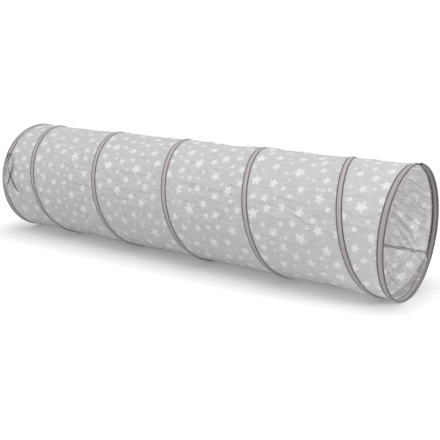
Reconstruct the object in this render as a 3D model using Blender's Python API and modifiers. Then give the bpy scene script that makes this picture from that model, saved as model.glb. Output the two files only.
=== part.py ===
"""Kids play tunnel: a cloth tube held open by a spring wire spiral that runs into a hoop at each end.

The tunnel lies along X with its far end at -X, and stands on Z = 0 with its middle over the origin.
Places round the tunnel are counted in facets, from the first corner past the middle of the sole.
"""

import math

import bmesh
import bpy
from mathutils import Vector

MM = 0.001

# Driving dimensions of the whole tunnel
TUNNEL_LENGTH = 1800 * MM
TUNNEL_DIAMETER = 466 * MM
SECTION_COUNT = 6
CLEARANCE = 0.3 * MM
FACETS_PER_TURN = 32
SOLE_ANGLE = math.radians(270)

# Spring wire, and the tape that holds it
WIRE_DIAMETER = 2.3 * MM
WIRE_SIDES_RESOLUTION = 1
CHANNEL_SIDES = 6
TAPE_THICKNESS = 0.8 * MM

# Cloth tube
CLOTH_THICKNESS = 0.8 * MM
WAIST_DEPTH = 3.5 * MM
CLOTH_STEPS = 4
WELD_DISTANCE = 0.05 * MM

# Spiral of wire in its casing
SPIRAL_TURNS = 4.9375
SPIRAL_START_ANGLE = math.radians(343)
RUN_OUT_TURNS = 0.16
CASING_WIDTH = 22 * MM
CASING_CREST = 6 * MM
CASING_TIP = 3 * MM
HOOP_PROUD = 0.3 * MM

# End bindings
BINDING_WIDTH = 25 * MM
BINDING_LEG = 10 * MM
BINDING_CREST = 9 * MM
BINDING_ROUNDING = 0.7 * MM
NEAR_LAP_ANGLE = math.radians(80)
FAR_LAP_ANGLE = math.radians(219)

# Ferrules that close the hoop wires
FERRULE_LENGTH = 24 * MM
FERRULE_WALL = 0.4 * MM
FERRULE_SIDES = 12
FERRULE_ANGLE = math.radians(349)

# Tie tape at the far hoop: points of the two strands, from the stitch to the cut end
TIE_DIAMETER = 3 * MM
TIE_SPACING = 7.5 * MM
TIE_SIDES_RESOLUTION = 2
TIE_SAMPLES = 40
TIE_LONG_ROUTE = (
    (-891.9, -203.8, 348.3),
    (-872.1, -215.6, 327.8),
    (-863.2, -225.7, 307.6),
    (-849.4, -233.3, 283.6),
    (-842.4, -236.3, 270.9),
    (-832.5, -236.9, 259.1),
    (-821.6, -236.5, 234.3),
    (-807.8, -235.7, 215.1),
    (-792, -235.4, 199),
)
TIE_SHORT_ROUTE = (
    (-888.5, -200.5, 351.1),
    (-871.2, -202.8, 351.1),
    (-860.3, -206.4, 344.4),
    (-847.4, -212.2, 333),
    (-838.5, -217.7, 320.5),
    (-834, -225.8, 297.1),
    (-839.9, -231, 275),
    (-847.3, -234.1, 252.5),
    (-856.2, -235, 233.3),
    (-862.1, -235.1, 224.3),
)

# Cutters run past what they cut by this much
OVERRUN = 20 * MM

# Sizes that follow from those above
HALF_LENGTH = TUNNEL_LENGTH / 2
OUTER_RADIUS = TUNNEL_DIAMETER / 2
FACET_ANGLE = math.tau / FACETS_PER_TURN
AXIS_HEIGHT = OUTER_RADIUS * math.cos(FACET_ANGLE / 2)
FACET_LENGTH = 2 * OUTER_RADIUS * math.sin(FACET_ANGLE / 2)
CUT_FACETS = CLEARANCE / FACET_LENGTH

WIRE_RADIUS = WIRE_DIAMETER / 2
CHANNEL_RADIUS = WIRE_RADIUS + CLEARANCE
WIRE_RING_RADIUS = OUTER_RADIUS - TAPE_THICKNESS - CHANNEL_RADIUS
CASING_BASE = WIRE_RING_RADIUS - CHANNEL_RADIUS - TAPE_THICKNESS
CASING_TOP = OUTER_RADIUS - HOOP_PROUD
CLOTH_RADIUS = CASING_BASE - CLEARANCE
CLOTH_INNER_RADIUS = CLOTH_RADIUS - CLOTH_THICKNESS

FERRULE_RADIUS = CHANNEL_RADIUS + FERRULE_WALL
POCKET_RADIUS = FERRULE_RADIUS + CLEARANCE
LUMP_RADIUS = POCKET_RADIUS + TAPE_THICKNESS
WIRE_PLANE = HALF_LENGTH - LUMP_RADIUS
SLOT_INSET = 2 * LUMP_RADIUS
BINDING_EDGE = HALF_LENGTH - BINDING_WIDTH
CLOTH_EDGE = HALF_LENGTH - SLOT_INSET - CLEARANCE

SPIRAL_FACETS = SPIRAL_TURNS * FACETS_PER_TURN
SECTION_FACETS = SPIRAL_FACETS / SECTION_COUNT
RUN_OUT_FACETS = RUN_OUT_TURNS * FACETS_PER_TURN
SPIRAL_LEAD = 2 * WIRE_PLANE / SPIRAL_FACETS
SPIRAL_PITCH = SPIRAL_LEAD * FACETS_PER_TURN


def start_empty():
    """Clears the scene and makes one collection for the parts and one for the cutters."""
    for item in list(bpy.data.objects):
        bpy.data.objects.remove(item, do_unlink=True)
    made = [bpy.data.collections.new(name) for name in ("play_tunnel", "play_tunnel_cutters")]
    for collection in made:
        bpy.context.scene.collection.children.link(collection)
    return made


PARTS, CUTTERS = start_empty()


def finish(name, colour, roughness, metallic=0):
    """A plain finish."""
    material = bpy.data.materials.new(name)
    material.use_nodes = True
    shader = material.node_tree.nodes["Principled BSDF"]
    shader.inputs["Base Color"].default_value = (*colour, 1)
    shader.inputs["Roughness"].default_value = roughness
    shader.inputs["Metallic"].default_value = metallic
    return material


CLOTH_FINISH = finish("grey_printed_cloth", (0.6, 0.6, 0.61), 0.85)
TAPE_FINISH = finish("taupe_binding_tape", (0.3, 0.27, 0.3), 0.8)
TIE_FINISH = finish("dark_tie_tape", (0.08, 0.07, 0.08), 0.8)
STEEL_FINISH = finish("spring_steel", (0.45, 0.45, 0.46), 0.35, 1)
FERRULE_FINISH = finish("zinc_plated_ferrule", (0.6, 0.6, 0.62), 0.4, 1)


def add_part(name, data, material):
    """Adds a mesh or curve to the parts."""
    part = bpy.data.objects.new(name, data)
    part.data.materials.append(material)
    PARTS.objects.link(part)
    return part


def mesh_from(shape, name):
    """Makes a mesh of a shape, with its faces pointing out."""
    bmesh.ops.recalc_face_normals(shape, faces=shape.faces)
    mesh = bpy.data.meshes.new(name)
    shape.to_mesh(mesh)
    shape.free()
    return mesh


def place_of(angle):
    """The place round the tunnel that an angle falls on."""
    return (angle - SOLE_ANGLE) / FACET_ANGLE - 1 / 2


def corner(place):
    """A corner of the unit polygon, which has one facet centred on the floor."""
    angle = SOLE_ANGLE + (place + 1 / 2) * FACET_ANGLE
    return Vector((0, math.cos(angle), math.sin(angle)))


def on_turn(x, place, radius):
    """A point at a distance along the tunnel, a place round it and a radius at the corners."""
    low = math.floor(place)
    rim = corner(low).lerp(corner(low + 1), place - low)
    return Vector((x, 0, AXIS_HEIGHT)) + radius * rim


def through_corners(first, last):
    """Two places and every corner between them."""
    return [first, *range(math.floor(first) + 1, math.ceil(last)), last]


def run_out(facets):
    """Facets of lead gained: the spiral eases out of its hoop over two run-outs."""
    if facets >= RUN_OUT_FACETS:
        return facets
    return max(0, facets + RUN_OUT_FACETS) ** 2 / (4 * RUN_OUT_FACETS)


def spiral_x(facets):
    """Where the spiral's centre line lies along the tunnel."""
    if facets < SPIRAL_FACETS / 2:
        return SPIRAL_LEAD * run_out(facets) - WIRE_PLANE
    return WIRE_PLANE - SPIRAL_LEAD * run_out(SPIRAL_FACETS - facets)


def run_out_facets(distance):
    """How far round the spiral has gone when it is a distance from the hoop wire's plane."""
    return math.sqrt(4 * RUN_OUT_FACETS * distance / SPIRAL_LEAD) - RUN_OUT_FACETS


SPIRAL_START_PLACE = round(place_of(SPIRAL_START_ANGLE))


def spiral_stations(first, last):
    """Stations along the spiral, each a distance along the tunnel and a place round it."""
    return [(spiral_x(facets), SPIRAL_START_PLACE + facets) for facets in through_corners(first, last)]


def ring_stations(x, opening_place, gap):
    """Stations once round a hoop, which stays open by a gap on each side of its opening."""
    places = through_corners(opening_place + gap, opening_place + FACETS_PER_TURN - gap)
    return [(x, place) for place in places]


def channel_outline(inset):
    """The wire's channel in a tape, as distances along the tunnel and radii."""
    reach = CHANNEL_RADIUS / math.cos(math.pi / CHANNEL_SIDES)
    turns = [math.tau * side / CHANNEL_SIDES for side in range(CHANNEL_SIDES)]
    return [(inset + reach * math.cos(a), WIRE_RING_RADIUS + reach * math.sin(a)) for a in turns]


def swept_tape(name, outlines, stations):
    """A tape swept through its stations, with the wire's channel open at both ends."""
    shape = bmesh.new()
    first_rim, last_rim = set(), set()
    for outline in outlines:
        loops = [
            [shape.verts.new(on_turn(x + along, place, radius)) for along, radius in outline]
            for x, place in stations
        ]
        for near, far in zip(loops, loops[1:]):
            for i in range(len(outline)):
                j = (i + 1) % len(outline)
                shape.faces.new((near[i], near[j], far[j], far[i]))
        first_rim.update(loops[0])
        last_rim.update(loops[-1])
    for rim in (first_rim, last_rim):
        edges = [edge for edge in shape.edges if rim.issuperset(edge.verts)]
        bmesh.ops.triangle_fill(shape, edges=edges, use_beauty=True)
    return mesh_from(shape, name)


def wire_curve(name, points, diameter, resolution):
    """A wire or strand through its points, with its ends closed."""
    curve = bpy.data.curves.new(name, "CURVE")
    curve.dimensions = "3D"
    curve.bevel_depth = diameter / 2
    curve.bevel_resolution = resolution
    curve.use_fill_caps = True
    spline = curve.splines.new("POLY")
    spline.points.add(len(points) - 1)
    for point, place in zip(spline.points, points):
        point.co = (*place, 1)
    return curve


def along_facet(place, radius, length, x):
    """A cylinder laid along the middle of a facet."""
    shape = bmesh.new()
    bmesh.ops.create_cone(
        shape,
        cap_ends=True,
        segments=FERRULE_SIDES,
        radius1=radius,
        radius2=radius,
        depth=length,
    )
    middle = on_turn(x, place + 1 / 2, WIRE_RING_RADIUS)
    direction = corner(place + 1) - corner(place)
    turn = direction.to_track_quat("Z", "X").to_matrix().to_4x4()
    bmesh.ops.transform(shape, matrix=turn, verts=shape.verts)
    bmesh.ops.translate(shape, vec=middle, verts=shape.verts)
    return shape


def add_cutter(name, mesh):
    """A hidden solid that another part is cut or joined with."""
    cutter = bpy.data.objects.new(name, mesh)
    cutter.hide_render = True
    cutter.display_type = "WIRE"
    CUTTERS.objects.link(cutter)
    return cutter


def cut_or_join(part, other, operation):
    """Cuts a part with another solid, or joins the two."""
    modifier = part.modifiers.new(other.name, "BOOLEAN")
    modifier.operation = operation
    modifier.object = other


def waist(x, place):
    """How far the cloth draws in between the turns of the spiral that hold it out."""
    turn = place - SPIRAL_START_PLACE
    count = math.ceil(SPIRAL_TURNS) + 1
    lines = [spiral_x(turn + FACETS_PER_TURN * k) for k in range(-1, count + 1)]
    lines = sorted([-BINDING_EDGE, BINDING_EDGE, *lines])
    low = max((line for line in lines if line <= x), default=x)
    high = min((line for line in lines if line > x), default=x)
    span = high - low
    if abs(x) >= BINDING_EDGE or not span:
        return 0
    return WAIST_DEPTH * min(1, span / SPIRAL_PITCH) * math.sin(math.pi * (x - low) / span) ** 2


def faces_axis(face):
    """Whether a face of the tube points inwards."""
    middle = face.calc_center_median() - Vector((0, 0, AXIS_HEIGHT))
    return face.normal.dot(Vector((0, middle.y, middle.z))) < 0


def add_cloth_span(number):
    """One section of the cloth tube, rolled up from a flat cut and thickened inwards."""
    name = f"cloth_span_{number}"
    low = spiral_x(SECTION_FACETS * (number - 1)) + CLEARANCE / 2
    high = spiral_x(SECTION_FACETS * number) - CLEARANCE / 2
    low, high = max(low, -CLOTH_EDGE), min(high, CLOTH_EDGE)
    if number == 1:
        low = -CLOTH_EDGE
    if number == SECTION_COUNT:
        high = CLOTH_EDGE
    shape = bmesh.new()
    bmesh.ops.create_grid(shape, x_segments=CLOTH_STEPS, y_segments=FACETS_PER_TURN, size=1 / 2)
    for vert in shape.verts:
        vert.co.x = low + (high - low) * (vert.co.x + 1 / 2)
        vert.co.y = FACETS_PER_TURN * (vert.co.y + 1 / 2)
    for edge in (-BINDING_EDGE, BINDING_EDGE):
        everything = [*shape.verts, *shape.edges, *shape.faces]
        bmesh.ops.bisect_plane(shape, geom=everything, plane_co=(edge, 0, 0), plane_no=(1, 0, 0))
    for vert in shape.verts:
        x, place = vert.co.x, round(vert.co.y)
        vert.co = on_turn(x, place, CLOTH_RADIUS - waist(x, place))
    bmesh.ops.remove_doubles(shape, verts=shape.verts, dist=WELD_DISTANCE)
    bmesh.ops.reverse_faces(shape, faces=[f for f in shape.faces if faces_axis(f)])
    mesh = bpy.data.meshes.new(name)
    shape.to_mesh(mesh)
    shape.free()
    span = add_part(name, mesh, CLOTH_FINISH)
    wall = span.modifiers.new("cloth_wall", "SOLIDIFY")
    wall.thickness = CLOTH_THICKNESS
    wall.offset = -1
    wall.use_even_offset = True


def spiral_range(number, end_distance):
    """First and last facet of one section of the spiral, clear of its neighbours and the hoops."""
    first = SECTION_FACETS * (number - 1) + CUT_FACETS
    last = SECTION_FACETS * number - CUT_FACETS
    if number == 1:
        first = run_out_facets(end_distance)
    if number == SECTION_COUNT:
        last = SPIRAL_FACETS - run_out_facets(end_distance)
    return first, last


def add_spiral_section(number, trim):
    """One section of the casing tape with the spring wire in it."""
    half = CASING_WIDTH / 2
    crest = CASING_CREST / 2
    outline = [
        (-half, CASING_BASE),
        (half, CASING_BASE),
        (half, CASING_BASE + TAPE_THICKNESS),
        (crest, CASING_TOP),
        (-crest, CASING_TOP),
        (-half, CASING_BASE + TAPE_THICKNESS),
    ]
    tip_distance = WIRE_PLANE - BINDING_EDGE - half + CASING_TIP
    stations = spiral_stations(*spiral_range(number, tip_distance))
    name = f"spiral_casing_{number}"
    casing = add_part(name, swept_tape(name, (outline, channel_outline(0)), stations), TAPE_FINISH)
    if number in trim:
        cut_or_join(casing, trim[number], "DIFFERENCE")
    wire_distance = WIRE_PLANE - BINDING_EDGE + WIRE_RADIUS + CLEARANCE
    points = [
        on_turn(x, place, WIRE_RING_RADIUS)
        for x, place in spiral_stations(*spiral_range(number, wire_distance))
    ]
    name = f"spiral_wire_{number}"
    curve = wire_curve(name, points, WIRE_DIAMETER, WIRE_SIDES_RESOLUTION)
    add_part(name, curve, STEEL_FINISH)


def binding_outline(side):
    """The end tape folded round the cloth's edge, with its crest over the hoop wire."""
    inside = CLOTH_INNER_RADIUS - CLEARANCE
    points = (
        (0, inside - TAPE_THICKNESS),
        (BINDING_LEG, inside - TAPE_THICKNESS),
        (BINDING_LEG, inside),
        (SLOT_INSET, inside),
        (SLOT_INSET, CASING_BASE),
        (BINDING_WIDTH, CASING_BASE),
        (BINDING_WIDTH, CASING_BASE + TAPE_THICKNESS),
        (BINDING_CREST, OUTER_RADIUS),
        (BINDING_ROUNDING, OUTER_RADIUS),
        (0, OUTER_RADIUS - BINDING_ROUNDING),
    )
    return [(-side * inset, radius) for inset, radius in points]


def add_hoop(end, side, lap_angle):
    """The hoop at one end: its wire, the ferrule that closes it and the binding round both."""
    place = math.floor(place_of(FERRULE_ANGLE))
    binding = add_part(
        f"{end}_end_binding",
        swept_tape(
            f"{end}_end_binding",
            (binding_outline(side), channel_outline(-side * LUMP_RADIUS)),
            ring_stations(side * HALF_LENGTH, round(place_of(lap_angle)), CUT_FACETS),
        ),
        TAPE_FINISH,
    )
    wire_x = side * WIRE_PLANE
    lump_length = FERRULE_LENGTH + 2 * CLEARANCE + 2 * LUMP_RADIUS
    lump = along_facet(place, LUMP_RADIUS - CLEARANCE / 2, lump_length, wire_x)
    pocket = along_facet(place, POCKET_RADIUS, FERRULE_LENGTH + 2 * CLEARANCE, wire_x)
    lump = add_cutter(f"{end}_ferrule_lump", mesh_from(lump, f"{end}_ferrule_lump"))
    pocket = add_cutter(f"{end}_ferrule_pocket", mesh_from(pocket, f"{end}_ferrule_pocket"))
    bore = along_facet(place, CHANNEL_RADIUS, lump_length + 2 * LUMP_RADIUS, wire_x)
    bore = add_cutter(f"{end}_ferrule_bore", mesh_from(bore, f"{end}_ferrule_bore"))
    cut_or_join(binding, lump, "UNION")
    cut_or_join(binding, bore, "DIFFERENCE")
    cut_or_join(binding, pocket, "DIFFERENCE")
    middle = place + 1 / 2
    stations = ring_stations(wire_x, middle, CUT_FACETS / 2)
    points = [on_turn(x, spot, WIRE_RING_RADIUS) for x, spot in stations]
    curve = wire_curve(f"{end}_hoop_wire", points, WIRE_DIAMETER, WIRE_SIDES_RESOLUTION)
    add_part(f"{end}_hoop_wire", curve, STEEL_FINISH)
    sleeve = along_facet(place, FERRULE_RADIUS, FERRULE_LENGTH, wire_x)
    ends = [face for face in sleeve.faces if len(face.verts) > 4]
    bmesh.ops.delete(sleeve, geom=ends, context="FACES_ONLY")
    mesh = mesh_from(sleeve, f"{end}_hoop_ferrule")
    ferrule = add_part(f"{end}_hoop_ferrule", mesh, FERRULE_FINISH)
    wall = ferrule.modifiers.new("ferrule_wall", "SOLIDIFY")
    wall.thickness = FERRULE_WALL
    wall.offset = -1


def smooth_point(route, share):
    """A point of the smooth curve through a route's points."""
    spot = share * (len(route) - 1)
    i = min(int(spot), len(route) - 2)
    t = spot - i
    a, b, c, d = (route[max(0, min(len(route) - 1, i + k))] for k in (-1, 0, 1, 2))
    return (
        b
        + (c - a) * t / 2
        + (2 * a - 5 * b + 4 * c - d) * t**2 / 2
        + (3 * b - a - 3 * c + d) * t**3 / 2
    )


def spaced_points(route, spacing):
    """Even points along the smooth curve through a route."""
    count = TIE_SAMPLES * len(route)
    fine = [smooth_point(route, k / count) for k in range(count + 1)]
    reached = [0]
    for a, b in zip(fine, fine[1:]):
        reached.append(reached[-1] + (b - a).length)
    steps = max(2, round(reached[-1] / spacing))
    wanted = [reached[-1] * k / steps for k in range(steps + 1)]
    return [fine[min(range(len(fine)), key=lambda i: abs(reached[i] - w))] for w in wanted]


def add_tie(name, route):
    """One hanging strand of the tie tape."""
    points = spaced_points([MM * Vector(point) for point in route], TIE_SPACING)
    add_part(name, wire_curve(name, points, TIE_DIAMETER, TIE_SIDES_RESOLUTION), TIE_FINISH)
    return points


def add_trim_box(name, side):
    """The space that an end binding takes, so that the casing stops against its edge."""
    shape = bmesh.new()
    bmesh.ops.create_cube(shape, size=1)
    depth = BINDING_WIDTH + CLEARANCE + OVERRUN
    across = TUNNEL_DIAMETER + 2 * OVERRUN
    bmesh.ops.scale(shape, vec=(depth, across, across), verts=shape.verts)
    middle = (side * (HALF_LENGTH + OVERRUN - depth / 2), 0, AXIS_HEIGHT)
    bmesh.ops.translate(shape, vec=middle, verts=shape.verts)
    return add_cutter(name, mesh_from(shape, name))


def least_gap(points, diameter, apart):
    """The least gap between stretches of one wound tube that lie a given number of points apart."""
    gaps = [
        (points[i] - points[j]).length - diameter
        for i in range(len(points))
        for j in range(i + apart, len(points))
    ]
    return min(gaps)


def report_gaps(strands):
    """Prints the least gap of the wire to itself, of the casing to itself and of the tie strands."""
    facets = through_corners(-RUN_OUT_FACETS, SPIRAL_FACETS + RUN_OUT_FACETS)
    path = [on_turn(spiral_x(f), SPIRAL_START_PLACE + f, WIRE_RING_RADIUS) for f in facets]
    half_turn = FACETS_PER_TURN // 2
    print("wire to itself, mm:", round(least_gap(path, WIRE_DIAMETER, half_turn) / MM, 2))
    print("casing to itself, mm:", round(least_gap(path, CASING_WIDTH, half_turn) / MM, 2))
    first, second = strands
    near = min((a - b).length for a in first for b in second) - TIE_DIAMETER
    print("tie strands, mm:", round(near / MM, 2))


trim_boxes = {
    1: add_trim_box("far_trim", -1),
    SECTION_COUNT: add_trim_box("near_trim", 1),
}
for section in range(1, SECTION_COUNT + 1):
    add_cloth_span(section)
    add_spiral_section(section, trim_boxes)
add_hoop("far", -1, FAR_LAP_ANGLE)
add_hoop("near", 1, NEAR_LAP_ANGLE)
report_gaps(
    [
        add_tie("tie_strand_long", TIE_LONG_ROUTE),
        add_tie("tie_strand_short", TIE_SHORT_ROUTE),
    ]
)
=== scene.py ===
import math
import random

import bmesh
import bpy
import numpy as np
from mathutils import Matrix, Vector
from mathutils.geometry import delaunay_2d_cdt


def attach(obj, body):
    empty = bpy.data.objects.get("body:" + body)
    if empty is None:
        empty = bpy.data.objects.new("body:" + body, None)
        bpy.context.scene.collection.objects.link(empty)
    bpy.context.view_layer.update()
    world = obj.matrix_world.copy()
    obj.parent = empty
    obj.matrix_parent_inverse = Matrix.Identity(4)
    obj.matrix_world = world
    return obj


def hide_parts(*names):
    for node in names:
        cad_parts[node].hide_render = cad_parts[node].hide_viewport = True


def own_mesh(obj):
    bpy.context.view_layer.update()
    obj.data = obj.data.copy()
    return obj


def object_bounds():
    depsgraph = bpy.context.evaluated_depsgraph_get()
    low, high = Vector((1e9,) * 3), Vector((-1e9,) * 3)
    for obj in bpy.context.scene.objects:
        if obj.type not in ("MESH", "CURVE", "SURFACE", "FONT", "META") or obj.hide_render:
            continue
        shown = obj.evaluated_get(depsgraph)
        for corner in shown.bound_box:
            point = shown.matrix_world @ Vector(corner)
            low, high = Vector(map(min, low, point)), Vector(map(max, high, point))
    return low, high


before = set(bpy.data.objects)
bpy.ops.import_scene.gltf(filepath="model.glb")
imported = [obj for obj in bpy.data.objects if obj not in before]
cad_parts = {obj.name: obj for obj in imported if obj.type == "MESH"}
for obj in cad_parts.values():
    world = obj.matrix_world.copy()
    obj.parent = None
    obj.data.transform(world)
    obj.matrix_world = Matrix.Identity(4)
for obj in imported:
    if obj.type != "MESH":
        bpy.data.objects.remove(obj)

CAD_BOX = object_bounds()

# Camera: it stands off the near end, a little higher than the tunnel, and looks down the
# tunnel's side, so that the spiral's turns draw together towards the far end.
CAMERA_PLACE = Vector((1.8169, -2.3533, 0.8679))
CAMERA_YAW, CAMERA_PITCH, CAMERA_ROLL = -0.6263, -0.2386, 0.0055
FOCAL_PIXELS, PHOTO_PIXELS = 766.2, 440
SENSOR_WIDTH = 36

flat_ahead = Vector((math.sin(CAMERA_YAW), math.cos(CAMERA_YAW), 0)) * math.cos(CAMERA_PITCH)
ahead = flat_ahead + Vector((0, 0, math.sin(CAMERA_PITCH)))
level = Vector((math.cos(CAMERA_YAW), -math.sin(CAMERA_YAW), 0))
steep = level.cross(ahead)
to_right = level * math.cos(CAMERA_ROLL) + steep * math.sin(CAMERA_ROLL)
to_top = steep * math.cos(CAMERA_ROLL) - level * math.sin(CAMERA_ROLL)

camera = bpy.data.objects.new("camera", bpy.data.cameras.new("camera"))
camera.data.sensor_width = SENSOR_WIDTH
camera.data.lens = FOCAL_PIXELS / PHOTO_PIXELS * SENSOR_WIDTH
camera.matrix_world = Matrix.LocRotScale(
    CAMERA_PLACE, Matrix((to_right, to_top, -ahead)).transposed().to_quaternion(), None
)
bpy.context.scene.collection.objects.link(camera)
bpy.context.scene.camera = camera


# Room: white studio paper under an even white sky, with one softbox high over the tunnel and
# a weaker one past its near end, which shines in at its mouth.
FLOOR_REACH = 40
PAPER_WHITE = "#E4E4E4"
# How much whiter than its light the paper looks: within a box round the tunnel, and from so many
# metres beyond it. The box is given by half its sides.
PAPER_LIFT_NEAR, PAPER_LIFT_FAR, WHITE_FROM = 0.16, 0.45, 0.25
SHADED_HALF_BOX = (0.85, 0.18, 0)
SKY_STRENGTH = 0.71
SOFTBOXES = {
    # place, aim, side in metres, watts
    "softbox_above": (Vector((0, -0.9, 2.3)), Vector((0, 0, 0.2)), 1.1, 16),
    "softbox_at_mouth": (Vector((2.25, -0.1, 0.6)), Vector((0.8, 0.15, 0.2)), 0.5, 14.5),
}


def srgb(code):
    """The linear colour of an sRGB hex code."""
    steps = [int(code[i : i + 2], 16) / 255 for i in (1, 3, 5)]
    return (*[s / 12.92 if s <= 0.04045 else ((s + 0.055) / 1.055) ** 2.4 for s in steps], 1)


def add_node(tree, kind, inputs=None, **settings):
    """Adds a node, makes its settings, and sets or links its inputs by name or number."""
    node = tree.nodes.new(kind)
    for name, value in settings.items():
        setattr(node, name, value)
    for key, value in (inputs or {}).items():
        if isinstance(value, bpy.types.NodeSocket):
            tree.links.new(value, node.inputs[key])
        else:
            node.inputs[key].default_value = value
    return node


def new_material(name):
    """An empty node material."""
    material = bpy.data.materials.new(name)
    material.use_nodes = True
    material.node_tree.nodes.clear()
    return material, material.node_tree


def add_object(name, data):
    """Puts a mesh or a lamp in the scene, at the origin."""
    made = bpy.data.objects.new(name, data)
    bpy.context.scene.collection.objects.link(made)
    return made


# White seamless paper: matt and even, and as bright as the sky behind it. To the eye it whitens
# away from the tunnel, where the softbox no longer reaches it.
paper, tree = new_material("white_seamless_paper")
off = add_node(tree, "ShaderNodeTexCoord").outputs["Object"]
for operation, other in (("ABSOLUTE", (0, 0, 0)), ("SUBTRACT", SHADED_HALF_BOX), ("MAXIMUM", (0, 0, 0))):
    off = add_node(tree, "ShaderNodeVectorMath", {0: off, 1: other}, operation=operation).outputs[0]
away = add_node(tree, "ShaderNodeVectorMath", {0: off}, operation="LENGTH").outputs["Value"]
lift = {"Value": away, "From Max": WHITE_FROM, "To Min": PAPER_LIFT_NEAR, "To Max": PAPER_LIFT_FAR}
lift = add_node(tree, "ShaderNodeMapRange", lift, interpolation_type="SMOOTHSTEP").outputs[0]
to_camera = add_node(tree, "ShaderNodeLightPath").outputs["Is Camera Ray"]
lift = add_node(tree, "ShaderNodeMath", {0: to_camera, 1: lift}, operation="MULTIPLY")
glow = add_node(tree, "ShaderNodeEmission", {"Strength": lift.outputs[0]})
matt = add_node(tree, "ShaderNodeBsdfDiffuse", {"Color": srgb(PAPER_WHITE)})
both = add_node(tree, "ShaderNodeAddShader", {0: matt.outputs[0], 1: glow.outputs[0]})
add_node(tree, "ShaderNodeOutputMaterial", {"Surface": both.outputs[0]})

floor_mesh = bpy.data.meshes.new("paper_floor")
floor_corners = [(x * FLOOR_REACH, y * FLOOR_REACH, 0) for x, y in ((-1, -1), (1, -1), (1, 1), (-1, 1))]
floor_mesh.from_pydata(floor_corners, [], [(0, 1, 2, 3)])
floor_mesh.materials.append(paper)
add_object("paper_floor", floor_mesh)

# The sky is full white to the camera, in reflections and straight through cloth, and a little
# less than that as a light.
world = bpy.data.worlds.new("white_sky")
bpy.context.scene.world = world
world.use_nodes = True
tree = world.node_tree
tree.nodes.clear()
path = add_node(tree, "ShaderNodeLightPath").outputs
seen = path["Is Transmission Ray"]
for operation, ray in (("SUBTRACT", "Diffuse"), ("MAXIMUM", "Glossy"), ("MAXIMUM", "Camera")):
    terms = {0: seen, 1: path[f"Is {ray} Ray"]}
    seen = add_node(tree, "ShaderNodeMath", terms, operation=operation).outputs[0]
strength = add_node(tree, "ShaderNodeMapRange", {"Value": seen, "To Min": SKY_STRENGTH, "To Max": 1})
sky = add_node(tree, "ShaderNodeBackground", {"Color": (1, 1, 1, 1), "Strength": strength.outputs[0]})
add_node(tree, "ShaderNodeOutputWorld", {"Surface": sky.outputs[0]})

for name, (place, aim, side, watts) in SOFTBOXES.items():
    lamp = add_object(name, bpy.data.lights.new(name, "AREA"))
    lamp.data.energy = watts
    lamp.data.size = side
    lamp.matrix_world = Matrix.LocRotScale(place, (place - aim).to_track_quat("Z", "Y"), None)
bpy.context.scene.view_settings.view_transform = "Standard"


# Tie tape: a narrow dark woven tape, sewn to the far hoop by its middle, whose two ends hang
# in loose curves against the cloth. It ties the folded tunnel shut.
MM = 0.001
TIE_WIDTH, TIE_THICKNESS = 5 * MM, 0.6 * MM
# Its section, in half widths and half thicknesses
TIE_SECTION = ((1, 0.35), (0.9, 1), (-0.9, 1), (-1, 0.35), (-1, -0.35), (-0.9, -1), (0.9, -1), (1, -0.35))
TIE_STATIONS = 90
TIE_TWIST = math.radians(35)
# Where each strand runs, in mm, from the hoop to its free end
TIE_ROUTES = {
    "tie_tape_long": (
        (-891.9, -203.8, 348.3), (-872.1, -215.6, 327.8), (-863.2, -225.7, 307.6),
        (-849.4, -233.3, 283.6), (-842.4, -236.3, 270.9), (-832.5, -236.9, 259.1),
        (-821.6, -236.5, 234.3), (-807.8, -235.7, 215.1), (-792, -235.4, 199),
    ),
    "tie_tape_short": (
        (-888.5, -200.5, 351.1), (-871.2, -202.8, 351.1), (-860.3, -206.4, 344.4),
        (-847.4, -212.2, 333), (-838.5, -217.7, 320.5), (-834, -225.8, 297.1),
        (-839.9, -231, 275), (-847.3, -234.1, 252.5), (-856.2, -235, 233.3), (-862.1, -235.1, 224.3),
    ),
}
TIE_NODES = {"tie_tape_long": "tie_strand_long", "tie_tape_short": "tie_strand_short"}
AXIS_HEIGHT = (CAD_BOX[0].z + CAD_BOX[1].z) / 2
# The wave texture of scale 1 has a band this wide
BAND = math.tau / 20


def smooth_route(points, count):
    """Points on a Catmull-Rom line through a route's points in mm, in metres."""
    points = [Vector(p) * MM for p in points]
    before, after = 2 * points[0] - points[1], 2 * points[-1] - points[-2]
    held = [before, *points, after]
    made = []
    for i in range(count + 1):
        place = (len(points) - 1) * i / count
        k = min(int(place), len(points) - 2)
        t = place - k
        a, b, c, d = held[k : k + 4]
        bend = (2 * a - 5 * b + 4 * c - d) * t**2 + (3 * b - a - 3 * c + d) * t**3
        made.append((2 * b + (c - a) * t + bend) / 2)
    return made


def add_uv(mesh, places):
    """A UV map in metres from one place for each corner."""
    layer = mesh.uv_layers.new(name="UVMap")
    layer.uv.foreach_set("vector", np.asarray(places, np.float32).ravel())


def face_out(mesh, shortest=0):
    """Turns a closed mesh's faces out, after any edges up to a length are taken out."""
    shape = bmesh.new()
    shape.from_mesh(mesh)
    if shortest:
        bmesh.ops.dissolve_degenerate(shape, dist=shortest, edges=shape.edges)
    bmesh.ops.recalc_face_normals(shape, faces=shape.faces)
    shape.to_mesh(mesh)
    shape.free()


def swept_mesh(name, corners, sides, uv, slots=()):
    """A closed mesh through rows of corners, with its ends shut and a UV place for each corner."""
    last_row = len(corners) - sides
    faces = [
        (i + j, i + sides + j, i + sides + (j + 1) % sides, i + (j + 1) % sides)
        for i in range(0, last_row, sides)
        for j in range(sides)
    ]
    faces += [tuple(range(sides)), tuple(range(len(corners) - 1, last_row - 1, -1))]
    mesh = bpy.data.meshes.new(name)
    mesh.from_pydata(corners, [], faces)
    if slots:
        mesh.polygons.foreach_set("material_index", slots)
    face_out(mesh)
    add_uv(mesh, [uv[loop.vertex_index] for loop in mesh.loops])
    mesh.shade_smooth()
    return mesh


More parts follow.
